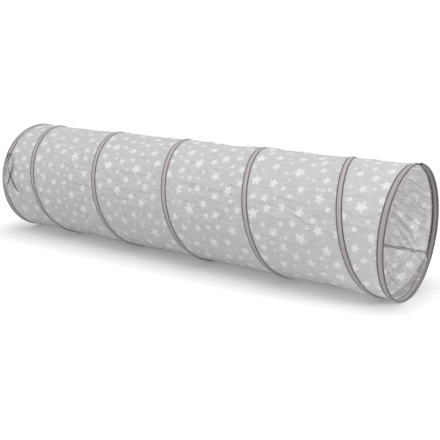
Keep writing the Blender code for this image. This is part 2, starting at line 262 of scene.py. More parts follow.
# Dark woven tape of polyester: matt, with fine ribs across it.
TIE_RIB, TIE_RIB_DEPTH = 0.9 * MM, 0.2 * MM
tie_cloth, tree = new_material("dark_woven_tie_tape")
strip = add_node(tree, "ShaderNodeUVMap", uv_map="UVMap").outputs[0]
ribs = {"Vector": strip, "Scale": BAND / TIE_RIB, "Distortion": 0.6}
ribs = add_node(tree, "ShaderNodeTexWave", ribs, bands_direction="X").outputs["Fac"]
shade = add_node(tree, "ShaderNodeValToRGB", {"Fac": ribs})
for stop, tone in zip(shade.color_ramp.elements, ("#454044", "#675F64")):
    stop.color = srgb(tone)
ridge = add_node(tree, "ShaderNodeBump", {"Height": ribs, "Strength": 0.5, "Distance": TIE_RIB_DEPTH})
surface = {"Base Color": shade.outputs[0], "Roughness": 0.85, "Normal": ridge.outputs[0]}
fibre = add_node(tree, "ShaderNodeBsdfPrincipled", surface)
add_node(tree, "ShaderNodeOutputMaterial", {"Surface": fibre.outputs[0]})

for name, route in TIE_ROUTES.items():
    line = smooth_route(route, TIE_STATIONS)
    length = sum((b - a).length for a, b in zip(line, line[1:]))
    corners, around = [], []
    walked = 0
    for i, point in enumerate(line):
        step = line[min(i + 1, TIE_STATIONS)] - line[max(i - 1, 0)]
        walked += (point - line[i - 1]).length if i else 0
        out = Vector((0, point.y, point.z - AXIS_HEIGHT))
        out -= out.project(step)
        turn = Matrix.Rotation(TIE_TWIST * math.sin(walked / length * math.tau), 3, step)
        out = turn @ out.normalized()
        side = step.cross(out).normalized()
        for w, h in TIE_SECTION:
            corners.append(point + side * w * TIE_WIDTH / 2 + out * h * TIE_THICKNESS / 2)
            around.append((walked, w * TIE_WIDTH / 2))
    mesh = swept_mesh(name, corners, len(TIE_SECTION), around)
    mesh.materials.append(tie_cloth)
    tie = add_object(name, mesh)
    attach(tie, "far_end")
    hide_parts(TIE_NODES[name])


# Cloth tube: thin grey polyester with a white star print, cut as one flat piece and rolled
# up with one lengthwise seam. The spring holds it taut, and it draws in between the turns.
HALF_LENGTH = 900 * MM
CLOTH_RADIUS, CLOTH_THICKNESS, CLOTH_EDGE = 227.8 * MM, 0.2 * MM, 893.8 * MM
ROUND = math.tau * CLOTH_RADIUS
SEAM_ANGLE, SEAM_ALLOWANCE = math.radians(328.4), 10 * MM
CLOTH_STEP = 5.8 * MM
MARGIN = 3 * CLOTH_STEP
# Corners nearer than the first become one, and edges shorter than the second are taken out
WELD, DEGENERATE = 0.01 * MM, 0.001 * MM
SAME_POINT = 1e-6

# The print: how far stars of a size reach, in mm, and how many there are. Each goes where it has
# the most room, out of a few places. Small ones have no point in the middle of a side.
STARS = ((25, 65), (20.5, 180), (17, 320), (13, 150), (9.5, 190), (7.5, 190), (5.5, 60))
STAR_SEED, STAR_TRIES = 4, 24
STAR_POINTS, STAR_NOTCH = 5, 0.5
SMALL_STAR = 1.8 * CLOTH_STEP
STAR_CLEARANCE = CLOTH_STEP / 3

# The spiral: where its wire and tape run, which the cloth follows
WIRE_PLANE = 897.05 * MM
SPIRAL_TURNS = 4.9375
SPIRAL_START = math.radians(-16.875)
SPIRAL_END = SPIRAL_START + SPIRAL_TURNS * math.tau
SPIRAL_LEAD = 2 * WIRE_PLANE / (SPIRAL_END - SPIRAL_START)
RUN_OUT = 0.16 * math.tau
CASING_WIDTH = 22 * MM
BINDING_EDGE = 875 * MM


def run_out(turned):
    """Angle of lead gained: the spiral eases out of its hoop over two run-outs."""
    eased = np.clip(turned + RUN_OUT, 0, 2 * RUN_OUT)
    return eased**2 / (4 * RUN_OUT) + np.maximum(turned - RUN_OUT, 0)


def spiral_x(angle):
    """Where the spiral's centre line lies along the tunnel, at an angle counted through all its turns."""
    return SPIRAL_LEAD * (run_out(angle - SPIRAL_START) - run_out(angle - SPIRAL_END)) - WIRE_PLANE


def star_outline(centre, reach, turn):
    """A star's corners, and a point in the middle of each of its sides unless it is small."""
    tips = []
    for i in range(2 * STAR_POINTS):
        r = reach if i % 2 == 0 else reach * STAR_NOTCH
        a = turn + math.tau * i / (2 * STAR_POINTS)
        tips.append(Vector((centre[0] + r * math.cos(a), centre[1] + r * math.sin(a))))
    if reach < SMALL_STAR:
        return tips
    return [p for a, b in zip(tips, tips[1:] + tips[:1]) for p in (a, (a + b) / 2)]


chance = random.Random(STAR_SEED)
sides = (0, ROUND), (-HALF_LENGTH, HALF_LENGTH)
stars, outlines = np.zeros((0, 3)), []
for reach, count in STARS:
    reach *= MM
    for _ in range(count):
        tried = np.array([[chance.uniform(*side) for side in sides] for _ in range(STAR_TRIES)])
        room = np.full(STAR_TRIES, np.inf)
        if len(stars):
            apart = np.hypot(*(tried[:, None] - stars[None, :, :2]).transpose(2, 0, 1))
            room = (apart - stars[None, :, 2] - reach).min(axis=1)
        best = tried[np.argmax(room)]
        stars = np.vstack([stars, [*best, reach]])
        outlines.append(star_outline(best, reach, chance.uniform(0, math.tau)))

across = np.arange(-MARGIN, ROUND + MARGIN, CLOTH_STEP)
along = np.arange(-CLOTH_EDGE - MARGIN, CLOTH_EDGE + MARGIN, CLOTH_STEP)
grid = np.stack(np.meshgrid(across, along), -1).reshape(-1, 2)
grid[:, 0] += (np.arange(len(grid)) // len(across) % 2) * CLOTH_STEP / 2
clear = np.ones(len(grid), bool)
for outline in outlines:
    rim = np.array(outline)
    low, high = rim.min(axis=0) - CLOTH_STEP, rim.max(axis=0) + CLOTH_STEP
    close = np.flatnonzero(((grid > low) & (grid < high)).all(axis=1) & clear)
    step = np.roll(rim, -1, axis=0) - rim
    for k in close:
        t = np.clip(((grid[k] - rim) * step).sum(axis=1) / (step**2).sum(axis=1), 0, 1)
        clear[k] = np.hypot(*(rim + step * t[:, None] - grid[k]).T).min() > STAR_CLEARANCE
points = [Vector(p) for p in grid[clear]]
star_faces = []
for outline in outlines:
    star_faces.append(list(range(len(points), len(points) + len(outline))))
    points += outline
flat_points, _, flat_faces, _, _, from_star = delaunay_2d_cdt(points, [], star_faces, 0, SAME_POINT)

shape = bmesh.new()
corners = [shape.verts.new((p.x, p.y, 0)) for p in flat_points]
for face, star in zip(flat_faces, from_star):
    made = shape.faces.new([corners[i] for i in face])
    made.material_index = 1 if star else 0
for place, out in (
    ((0, 0, 0), (-1, 0, 0)),
    ((ROUND, 0, 0), (1, 0, 0)),
    ((0, -CLOTH_EDGE, 0), (0, -1, 0)),
    ((0, CLOTH_EDGE, 0), (0, 1, 0)),
):
    everything = [*shape.verts, *shape.edges, *shape.faces]
    cut = {"plane_co": place, "plane_no": out, "clear_outer": True, "dist": WELD}
    bmesh.ops.bisect_plane(shape, geom=everything, **cut)
mesh = bpy.data.meshes.new("cloth_tube")
shape.to_mesh(mesh)
shape.free()

flat = np.array([v.co[:2] for v in mesh.vertices])
add_uv(mesh, [flat[loop.vertex_index] for loop in mesh.loops])

CREASES = (
    # from (along in mm, angle in degrees) to the same, depth in mm, half width in mm
    (11, 151.8, 375, 158.2, 3.2, 7),
    (389, 160.3, 542, 162.8, 3.0, 7),
    (522, 160.8, 694, 165.9, 2.8, 7),
    (704, 164.6, 860, 171.0, 3.2, 7),
    (-335, 149.3, -9, 153.0, 2.4, 7),
    (709, 157.9, 827, 160.5, 2.0, 6),
    (405, 151.7, 621, 157.4, 2.0, 6),
    (414, 169.8, 581, 173.9, 2.2, 6),
    (50, 160.6, 247, 165.7, 2.0, 6),
)
# Faint creases anywhere, mostly lengthwise, and slanting ones beside the hoops, in fans that go
# from (along, angle) to the same, with so many one below another. Lengths are in mm.
CREASE_SEED, CREASE_COUNT, CREASE_REACH, CREASE_LEAN = 11, 340, 880, math.radians(28)
CREASE_LENGTHS, CREASE_DEPTHS, CREASE_WIDTHS = (40, 180), (-2, 2.6), (4, 8)
CREASE_FANS = ((735, 82, 868, 50, 15), (-868, 190, -775, 165, 9))
# From one crease of a fan to the next in degrees, and how uneven they are: by a share of that,
# by degrees at each end, and by mm along the tunnel
FAN_STEP, FAN_JITTER, FAN_SPREAD, FAN_SHIFT = 9, 0.4, 4, 25
FAN_DEPTHS, FAN_WIDTHS = (1.6, 2.8), (4, 6.5)
# The ridge beside a crease: its share of the depth, and how many half widths off it stands. Both
# fade at the crease's ends, by this power of the distance from its middle.
RIDGE_SHARE, RIDGE_OFF, CREASE_FADE = 0.6, 1.7, 4

# The cloth draws in between the turns by its waist, and the tape holds it flat this far beside it.
# Its uneven waves have a height, a length, a seed and a count: puckers beside the tape, which
# slant and die away from it, slack anywhere, and lines drawn lengthwise in patches, which have
# their middling share in place of a height. A wave's own lengths spread round its length.
WAIST_DEPTH, HELD_FLAT = 3.2 * MM, 12 * MM
WAVE_SPREAD = (0.7, 1.6)
PUCKERS, PUCKER_REACH, PUCKER_SLANT = (1.3 * MM, 27 * MM, 1, 5), 34 * MM, 0.3
SLACK = ((1.3 * MM, 210 * MM, 2, 9), (1.3 * MM, 75 * MM, 3, 9))
DRAWN_LINES, DRAWN_OUT = (1.2 * MM, 28 * MM, 5, 11), (1, 0.2)
DRAWN_PATCHES, PATCH_MOST = (0.5, 240 * MM, 6, 9), 1.2


def wave(place, length, seed, count):
    """Smooth uneven waves of about one length, for one row of places or two."""
    draw = random.Random(seed)
    total = 0
    for _ in range(count):
        size = math.tau / (length * draw.uniform(*WAVE_SPREAD))
        turn = draw.uniform(0, math.tau)
        push = place @ (math.cos(turn), math.sin(turn)) if place.ndim > 1 else place
        total = total + np.cos(size * push + draw.uniform(0, math.tau))
    return total / math.sqrt(count)


arc, x = flat[:, 0], flat[:, 1]
angle = SEAM_ANGLE + arc / CLOTH_RADIUS
covered = BINDING_EDGE + CASING_WIDTH / 2
low, high = np.full(len(x), -covered), np.full(len(x), covered)
turned = np.mod(angle, math.tau)
for k in range(-1, math.ceil(SPIRAL_TURNS) + 2):
    line = spiral_x(turned + math.tau * k)
    inside = np.abs(line) < covered
    low = np.where(inside & (line <= x), np.maximum(low, line), low)
    high = np.where(inside & (line > x), np.minimum(high, line), high)
from_low = np.maximum(x - low - CASING_WIDTH / 2, 0)
from_high = np.maximum(high - x - CASING_WIDTH / 2, 0)
span = from_low + from_high
share = np.where(span > MM, from_low / np.maximum(span, MM), 0)
full = np.minimum(1, span / (SPIRAL_LEAD * math.tau))
rise = -WAIST_DEPTH * full * 4 * share * (1 - share)
beside = np.minimum(from_low, from_high)
free = np.clip(beside / HELD_FLAT, 0, 1)
height, *waves = PUCKERS
rise += height * np.exp(-beside / PUCKER_REACH) * free * wave(arc + PUCKER_SLANT * x, *waves)
for height, *waves in SLACK:
    rise += height * free * wave(flat, *waves)
middling, *waves = DRAWN_PATCHES
patches = np.clip(middling + middling * wave(flat, *waves), 0, PATCH_MOST)
height, *waves = DRAWN_LINES
rise += height * free * patches * wave(flat * DRAWN_OUT, *waves)

creases = [
    (x0 * MM, math.radians(a0), x1 * MM, math.radians(a1), depth * MM, width * MM)
    for x0, a0, x1, a1, depth, width in CREASES
]
draw = random.Random(CREASE_SEED)
for _ in range(CREASE_COUNT):
    x0, a0 = draw.uniform(-CREASE_REACH, CREASE_REACH) * MM, draw.uniform(0, math.tau)
    length, lean = draw.uniform(*CREASE_LENGTHS) * MM, draw.gauss(0, CREASE_LEAN)
    a1 = a0 + length * math.sin(lean) / CLOTH_RADIUS
    x1 = x0 + length * math.cos(lean)
    depth, width = draw.uniform(*CREASE_DEPTHS) * MM, draw.uniform(*CREASE_WIDTHS) * MM
    creases.append((x0, a0, x1, a1, depth, width))
for x0, a0, x1, a1, count in CREASE_FANS:
    for k in range(count):
        down = FAN_STEP * (k + draw.uniform(-FAN_JITTER, FAN_JITTER)) * (1 if x0 < 0 else -1)
        first, last = (math.radians(a + down + draw.gauss(0, FAN_SPREAD)) for a in (a0, a1))
        shift = draw.uniform(-FAN_SHIFT, FAN_SHIFT) * MM
        depth, width = draw.uniform(*FAN_DEPTHS) * MM, draw.uniform(*FAN_WIDTHS) * MM
        ends = x0 * MM + shift * (x0 > 0), x1 * MM + shift * (x0 < 0)
        creases.append((ends[0], first, ends[1], last, depth, width))
for x0, a0, x1, a1, depth, width in creases:
    start = np.array([np.mod(a0 - SEAM_ANGLE, math.tau) * CLOTH_RADIUS, x0])
    run = np.array([(a1 - a0) * CLOTH_RADIUS, x1 - x0])
    t = ((flat - start) @ run) / (run @ run)
    off = ((flat - start) @ np.array([-run[1], run[0]])) / np.hypot(*run)
    fade = np.clip(1 - np.abs(2 * t - 1) ** CREASE_FADE, 0, 1)
    ridge = np.exp(-(((off - RIDGE_OFF * width) / width) ** 2))
    rise -= depth * fade * free * (np.exp(-((off / width) ** 2)) - RIDGE_SHARE * ridge)

# Where the cloth was caught over the hoops' tape, in degrees round the tunnel: by the ties and
# above them outside the far end, and below the seam inside the near end.
TUCKS = {"far": ((55, 134), (154, 197)), "near": ((222, 328),)}
TUCK_EASE = 6
# How far the tape's colour and its painted shade on the cloth fade out beside it
TINT_FADE = 4 * MM


def tucked(end, bearing):
    """How far the cloth lies over an end's tape, from 0 to 1."""
    most = np.zeros_like(bearing)
    for start, stop in TUCKS[end]:
        off = np.abs(np.mod(np.degrees(bearing) - (start + stop) / 2 + 180, 360) - 180)
        most = np.maximum(most, np.clip(((stop - start) / 2 - off) / TUCK_EASE, 0, 1))
    return most


# Where tape lies on the cloth: its share of the tape seen through the cloth and of painted shade
under_tape = np.clip(1 - beside / TINT_FADE, 0, 1)
under_tape *= np.where(x < -covered, 1 - tucked("far", angle), 1)
layer = mesh.attributes.new("under_tape", "FLOAT", "POINT")
layer.data.foreach_set("value", under_tape.astype(np.float32))

radius = CLOTH_RADIUS + rise
co = np.stack([x, radius * np.cos(angle), AXIS_HEIGHT + radius * np.sin(angle)], -1)
mesh.vertices.foreach_set("co", co.astype(np.float32).ravel())
mesh.update()
face = mesh.polygons[0]
if face.normal.dot(face.center - Vector((face.center.x, 0, AXIS_HEIGHT))) < 0:
    mesh.flip_normals()
mesh.shade_smooth()

# Polyester taffeta: a smooth thin plain weave with a faint sheen. Light passes through it, its
# threads show as fine streaks round the tunnel, and the print sits on its outer face. Where tape
# lies on it, its colour is mixed towards the tape's: partly the tape seen through the thin cloth,
# partly painted shade where the tape keeps the light from behind off it. The mix is stronger in
# the light through the cloth than on its face.
# The real threads are 0.2 mm apart, too fine to show, so they are drawn eight times as coarse.
# Streaks and crinkles have a size round the tunnel and one along it.
THREAD, THREAD_DEPTH, THREAD_WANDER = 1.6 * MM, 0.06 * MM, 1.2
STREAK, CRINKLE, CRINKLE_DEPTH = (60 * MM, 3 * MM), (14 * MM, 30 * MM), 9 * MM
# The tape's colour through the cloth, darkened by painted shade, and how far the face and the light
# through the cloth take it
TAPE_AND_SHADE_THROUGH_CLOTH, TAPE_ON_FACE, TAPE_IN_LIGHT = "#BBB0B7", 0.4, 0.8


def taffeta(name, ground, streak, through, clearness, roughness):
    """Printed or plain taffeta, in the colours of its ground, its streaks and the light through it."""
    material, tree = new_material(name)
    place = add_node(tree, "ShaderNodeUVMap", uv_map="UVMap").outputs[0]
    clouds = []
    for (round_it, along_it), bent in ((STREAK, 0), (CRINKLE, 0.5)):
        cloud = {"Vector": place, "Scale": (1 / round_it, 1 / along_it, 1)}
        cloud = add_node(tree, "ShaderNodeMapping", cloud).outputs[0]
        cloud = {"Vector": cloud, "Scale": 1, "Detail": 3, "Distortion": bent}
        clouds.append(add_node(tree, "ShaderNodeTexNoise", cloud).outputs[0])
    shades = {0: clouds[0], 6: srgb(ground), 7: srgb(streak)}
    colour = add_node(tree, "ShaderNodeMix", shades, data_type="RGBA").outputs[2]
    # Where tape lies on the cloth: the tape seen through it, and painted shade
    taped = add_node(tree, "ShaderNodeAttribute", attribute_name="under_tape").outputs["Fac"]
    tinted = []
    for plain, most in ((colour, TAPE_ON_FACE), (srgb(through), TAPE_IN_LIGHT)):
        share = add_node(tree, "ShaderNodeMath", {0: taped, 1: most}, operation="MULTIPLY")
        shades = {0: share.outputs[0], 6: plain, 7: srgb(TAPE_AND_SHADE_THROUGH_CLOTH)}
        tinted.append(add_node(tree, "ShaderNodeMix", shades, data_type="RGBA").outputs[2])
    weave = 0
    for way in "XY":
        threads = {"Vector": place, "Scale": BAND / THREAD, "Distortion": THREAD_WANDER}
        threads = add_node(tree, "ShaderNodeTexWave", threads, bands_direction=way).outputs["Fac"]
        weave = add_node(tree, "ShaderNodeMath", {0: weave, 1: threads}, operation="ADD").outputs[0]
    relief = {"Height": weave, "Strength": 0.25, "Distance": THREAD_DEPTH}
    relief = {"Normal": add_node(tree, "ShaderNodeBump", relief).outputs[0]}
    relief |= {"Height": clouds[1], "Strength": 1, "Distance": CRINKLE_DEPTH}
    normal = add_node(tree, "ShaderNodeBump", relief).outputs[0]
    surface = {"Base Color": tinted[0], "Roughness": roughness, "Sheen Weight": 0.1, "Normal": normal}
    face = add_node(tree, "ShaderNodeBsdfPrincipled", surface)
    glow = add_node(tree, "ShaderNodeBsdfTranslucent", {"Color": tinted[1], "Normal": normal})
    thin = {0: clearness, 1: face.outputs[0], 2: glow.outputs[0]}
    thin = add_node(tree, "ShaderNodeMixShader", thin)
    add_node(tree, "ShaderNodeOutputMaterial", {"Surface": thin.outputs[0]})
    return material


mesh.materials.append(taffeta("grey_polyester_taffeta", "#CDD0CE", "#E8EAE9", "#E6DCDF", 0.3, 0.6))
mesh.materials.append(taffeta("white_printed_taffeta", "#F8F8F8", "#FCFCFC", "#F8F1F4", 0.24, 0.55))
cloth = add_object("cloth_tube", mesh)

# The tunnel folds in six sections, which travel so far. The cloth takes the place of all their cloth
# spans, with its edges just under the hoops' tape.
SECTION_COUNT, SECTION_TRAVEL = 6, 289 * MM
SECTIONS = range(1, SECTION_COUNT + 1)


def fold_with_tunnel(piece):
    """A piece as long as the tunnel: it rides on the far end, with a mesh of its own."""
    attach(piece, "far_end")
    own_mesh(piece)


fold_with_tunnel(cloth)
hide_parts(*[f"cloth_span_{n}" for n in SECTIONS])


# Lengthwise seam: the cloth's two edges, overlocked together with dark thread and pressed to
# one side inside the tunnel, where they show as a narrow double line.
SEAM_REACH, SEAM_STATIONS, SEAM_SINK = 881 * MM, 600, 0.05 * MM
# Its section in mm, round the tunnel and in from the cloth, with thread over both its edges
SEAM_SECTION = (
    (-0.2, 0.0), (-0.2, 0.55), (0.3, 1.1), (2.0, 1.1), (2.4, 0.45),
    (6.4, 0.45), (6.8, 1.1), (8.2, 1.1), (8.6, 0.5), (8.6, 0.0),
)
THREAD_SIDES = (1, 2, 3, 5, 6, 7)

# Polyester thread, dyed dark taupe: a tight two-ply twist with a soft shine.
TWIST, TWIST_DEPTH = 2 * MM, 0.1 * MM
thread, tree = new_material("taupe_polyester_thread")
place = add_node(tree, "ShaderNodeTexCoord").outputs["Object"]
spun = add_node(tree, "ShaderNodeTexNoise", {"Vector": place, "Scale": 1 / TWIST}).outputs[0]
shades = {0: spun, 6: srgb("#575055"), 7: srgb("#6F676D")}
tone = add_node(tree, "ShaderNodeMix", shades, data_type="RGBA")
ply = add_node(tree, "ShaderNodeBump", {"Height": spun, "Strength": 0.4, "Distance": TWIST_DEPTH})
surface = {"Base Color": tone.outputs[2], "Roughness": 0.55, "Normal": ply.outputs[0]}
fibre = add_node(tree, "ShaderNodeBsdfPrincipled", surface)
add_node(tree, "ShaderNodeOutputMaterial", {"Surface": fibre.outputs[0]})

cloth_rise = np.interp(
    np.linspace(-SEAM_REACH, SEAM_REACH, SEAM_STATIONS + 1),
    *np.array(sorted((px, pr) for px, pa, pr in zip(x, arc, rise) if pa < CLOTH_STEP)).T,
)
corners, around = [], []
inner = CLOTH_RADIUS - CLOTH_THICKNESS
for i, lifted in enumerate(cloth_rise):
    along = -SEAM_REACH + 2 * SEAM_REACH * i / SEAM_STATIONS
    for w, h in SEAM_SECTION:
        a = SEAM_ANGLE + (w * MM) / inner
        r = inner + lifted - h * MM + SEAM_SINK
        corners.append((along, r * math.cos(a), AXIS_HEIGHT + r * math.sin(a)))
        around.append((w * MM, along))
slots = [int(j in THREAD_SIDES) for j in range(len(SEAM_SECTION))] * SEAM_STATIONS + [0, 0]
mesh = swept_mesh("seam_allowance", corners, len(SEAM_SECTION), around, slots)
mesh.materials.append(bpy.data.materials["grey_polyester_taffeta"])
mesh.materials.append(thread)
seam = add_object("seam_allowance", mesh)
fold_with_tunnel(seam)


# Spring: one long spring steel wire, coiled into a spiral of a little under five turns that
# eases into a hoop at each end. It holds the tunnel open, and it lies hidden under the tape.
WIRE_DIAMETER = 2.3 * MM
WIRE_RING_RADIUS = 229.5 * MM
WIRE_ROWS_PER_TURN, WIRE_SIDES = 96, 8
WIRE_PAST_START = RUN_OUT * 0.72
# With fewer tip rows than this, the wire's ends stay as thick as the rest
LEAST_ROWS = 0.0001
DENT_DEPTH = 0.15 * MM
SPIRAL_SIZES = {
    "First Angle": SPIRAL_START,
    "Last Angle": SPIRAL_END,
    "Lead": SPIRAL_LEAD,
    "Run Out": RUN_OUT,
    "Hoop Plane": WIRE_PLANE,
    "Ring Radius": CLOTH_RADIUS + CLOTH_THICKNESS,
    "Axis Height": AXIS_HEIGHT,
    "Tuck": BINDING_EDGE + MM,
}


def new_tree(name, floats, others, outputs):
    """An empty node tree with named sockets, and the sockets that its own nodes read and fill."""
    tree = bpy.data.node_groups.new(name, "GeometryNodeTree")
    for way, sockets in (("INPUT", dict.fromkeys(floats, "Float") | others), ("OUTPUT", outputs)):
        for label, kind in sockets.items():
            tree.interface.new_socket(label, in_out=way, socket_type=f"NodeSocket{kind}")
    return tree, tree.nodes.new("NodeGroupInput").outputs, tree.nodes.new("NodeGroupOutput").inputs


def finish_tree(tree, geometry, given, made):
    """Ends a node tree: what it makes is a smooth plain mesh of the given material."""
    for kind in ("GeometryNodeSetShadeSmooth", "GeometryNodeRealizeInstances"):
        geometry = add_node(tree, kind, {"Geometry": geometry}).outputs[0]
    dressed = {"Geometry": geometry, "Material": given["Material"]}
    geometry = add_node(tree, "GeometryNodeSetMaterial", dressed).outputs[0]
    tree.links.new(geometry, made["Geometry"])


# The trees' sums are listed as a result's name, an operation and its terms, each of them a
# number or the name of a socket or an earlier result. This first tree is run_out and its slope.
run_rule, given, made = new_tree(
    "run_out_rule", ("Turned", "Run Out"), {}, {"Gain": "Float", "Rate": "Float"}
)
known = dict(given.items())
for name, operation, *terms in (
    ("late", "ADD", "Turned", "Run Out"),
    ("whole ease", "MULTIPLY", "Run Out", 2),
    ("begun", "MAXIMUM", "late", 0),
    ("eased", "MINIMUM", "begun", "whole ease"),
    ("rate", "DIVIDE", "eased", "whole ease"),
    ("bend", "MULTIPLY", "eased", "rate"),
    ("half bend", "DIVIDE", "bend", 2),
    ("past", "SUBTRACT", "Turned", "Run Out"),
    ("straight", "MAXIMUM", "past", 0),
    ("gain", "ADD", "half bend", "straight"),
):
    inputs = {i: known.get(term, term) for i, term in enumerate(terms)}
    known[name] = add_node(run_rule, "ShaderNodeMath", inputs, operation=operation).outputs[0]
run_rule.links.new(known["gain"], made["Gain"])
run_rule.links.new(known["rate"], made["Rate"])

# A place on the tunnel, from an angle along the spiral, a distance across it and a height over
# the cloth. Nothing goes farther out along the tunnel than the tuck under the hoops' tape.
on_tunnel, given, made = new_tree(
    "place_on_tunnel", ("Angle", "Across", "Height", *SPIRAL_SIZES), {}, {"Position": "Vector"}
)
known = dict(given.items())
for end in ("First", "Last"):
    terms = {0: given["Angle"], 1: given[f"{end} Angle"]}
    turned = add_node(on_tunnel, "ShaderNodeMath", terms, operation="SUBTRACT")
    terms = {"Turned": turned.outputs[0], "Run Out": given["Run Out"]}
    rule = add_node(on_tunnel, "GeometryNodeGroup", terms, node_tree=run_rule).outputs
    known |= {f"{end} {label}": rule[label] for label in ("Gain", "Rate")}
for name, operation, *terms in (
    ("gain", "SUBTRACT", "First Gain", "Last Gain"),
    ("rate", "SUBTRACT", "First Rate", "Last Rate"),
    ("travel", "MULTIPLY", "gain", "Lead"),
    ("centre", "SUBTRACT", "travel", "Hoop Plane"),
    ("climb", "MULTIPLY", "rate", "Lead"),
    ("lean", "ARCTAN2", "climb", "Ring Radius"),
    ("lean cosine", "COSINE", "lean"),
    ("lean sine", "SINE", "lean"),
    ("side", "MULTIPLY_ADD", "Across", "lean cosine", "centre"),
    ("near limit", "MINIMUM", "side", "Tuck"),
    ("far tuck", "MULTIPLY", "Tuck", -1),
    ("X", "MAXIMUM", "near limit", "far tuck"),
    ("arc", "MULTIPLY", "Across", "lean sine"),
    ("turn back", "DIVIDE", "arc", "Ring Radius"),
    ("bearing", "SUBTRACT", "Angle", "turn back"),
    ("reach", "ADD", "Ring Radius", "Height"),
    ("bearing cosine", "COSINE", "bearing"),
    ("bearing sine", "SINE", "bearing"),
    ("Y", "MULTIPLY", "reach", "bearing cosine"),
    ("Z", "MULTIPLY_ADD", "reach", "bearing sine", "Axis Height"),
):
    inputs = {i: known.get(term, term) for i, term in enumerate(terms)}
    known[name] = add_node(on_tunnel, "ShaderNodeMath", inputs, operation=operation).outputs[0]
spot = add_node(on_tunnel, "ShaderNodeCombineXYZ", {axis: known[axis] for axis in "XYZ"})
on_tunnel.links.new(spot.outputs[0], made["Position"])


def on_cloth(tree, given, angle, across, height):
    """Where in a tree an angle along the spiral, a distance across it and a height come to."""
    terms = {"Angle": angle, "Across": across, "Height": height}
    terms |= {label: given[label] for label in SPIRAL_SIZES}
    return add_node(tree, "GeometryNodeGroup", terms, node_tree=on_tunnel).outputs[0]


def grid_tree(name, *floats):
    """A node tree that bends a flat grid, and what its sums can name: also a corner's row, from 0
    to 1, and its angle along the spiral."""
    floats = ("Begin", "End", *floats, *SPIRAL_SIZES)
    others = {"Rows": "Int", "Columns": "Int", "Material": "Material"}
    tree, given, made = new_tree(name, floats, others, {"Geometry": "Geometry"})
    size = {"Size X": 1, "Size Y": 1, "Vertices X": given["Rows"], "Vertices Y": given["Columns"]}
    grid = add_node(tree, "GeometryNodeMeshGrid", size).outputs[0]
    place = add_node(tree, "GeometryNodeInputPosition").outputs[0]
    place = add_node(tree, "ShaderNodeSeparateXYZ", {0: place}).outputs
    row = add_node(tree, "ShaderNodeMath", {0: place["X"], 1: 0.5}, operation="ADD").outputs[0]
    along = {"Value": row, "To Min": given["Begin"], "To Max": given["End"]}
    along = add_node(tree, "ShaderNodeMapRange", along).outputs[0]
    return tree, given, made, grid, dict(given.items()) | {"Y": place["Y"], "row": row, "along": along}


def finish_grid(tree, given, made, grid, *place):
    """Bends a grid to its places on the tunnel, joins the corners that meet and ends its tree."""
    bent = {"Geometry": grid, "Position": on_cloth(tree, given, *place)}
    bent = add_node(tree, "GeometryNodeSetPosition", bent).outputs[0]
    joined = add_node(tree, "GeometryNodeMergeByDistance", {"Geometry": bent, "Distance": WELD})
    finish_tree(tree, joined.outputs[0], given, made)


# The wire: a round rod swept along the spiral, or once round a hoop where its lead is nothing.
# A grid stands for its skin, from row to row along it and from column to column round it.
wire_tree, given, made, net, known = grid_tree("coiled_wire", "Wire Radius", "Wire Height", "Tip Rows")
for name, operation, *terms in (
    ("turn", "MULTIPLY", "Y", math.tau),
    ("from end", "SUBTRACT", 1, "row"),
    ("nearest", "MINIMUM", "row", "from end"),
    ("rows in", "MULTIPLY", "nearest", "Rows"),
    ("tip rows", "MAXIMUM", "Tip Rows", LEAST_ROWS),
    ("tip", "DIVIDE", "rows in", "tip rows"),
    ("no tip", "LESS_THAN", "Tip Rows", LEAST_ROWS),
    ("blunt", "ADD", "tip", "no tip"),
    ("full", "MINIMUM", "blunt", 1),
    ("thick", "MULTIPLY", "Wire Radius", "full"),
    ("turn cosine", "COSINE", "turn"),
    ("turn sine", "SINE", "turn"),
    ("across", "MULTIPLY", "thick", "turn cosine"),
    ("up", "MULTIPLY_ADD", "thick", "turn sine", "Wire Height"),
):
    inputs = {i: known.get(term, term) for i, term in enumerate(terms)}
    known[name] = add_node(wire_tree, "ShaderNodeMath", inputs, operation=operation).outputs[0]
finish_grid(wire_tree, given, made, net, known["along"], known["across"], known["up"])


def settled(source):
    """The plain mesh that an object's modifiers make, in place of the object."""
    depsgraph = bpy.context.evaluated_depsgraph_get()
    mesh = bpy.data.meshes.new_from_object(source.evaluated_get(depsgraph))
    bpy.data.objects.remove(source)
    return mesh


def grow(name, tree, **values):
    """Runs a node tree with its sizes and keeps what it makes as a plain mesh, facing out."""
    seed = add_object(name + "_seed", bpy.data.meshes.new(name + "_seed"))
    modifier = seed.modifiers.new("growth", "NODES")
    modifier.node_group = tree
    for item in tree.interface.items_tree:
        label = item.name.replace(" ", "_").lower()
        if label in values and item.in_out == "INPUT":
            modifier[item.identifier] = values[label]
    mesh = settled(seed)
    mesh.name = name
    face_out(mesh, DEGENERATE)
    return add_object(name, mesh)


def sizes_of(**changed):
    """The spiral's sizes as a tree's values, with some of them changed."""
    return {label.replace(" ", "_").lower(): size for label, size in SPIRAL_SIZES.items()} | changed


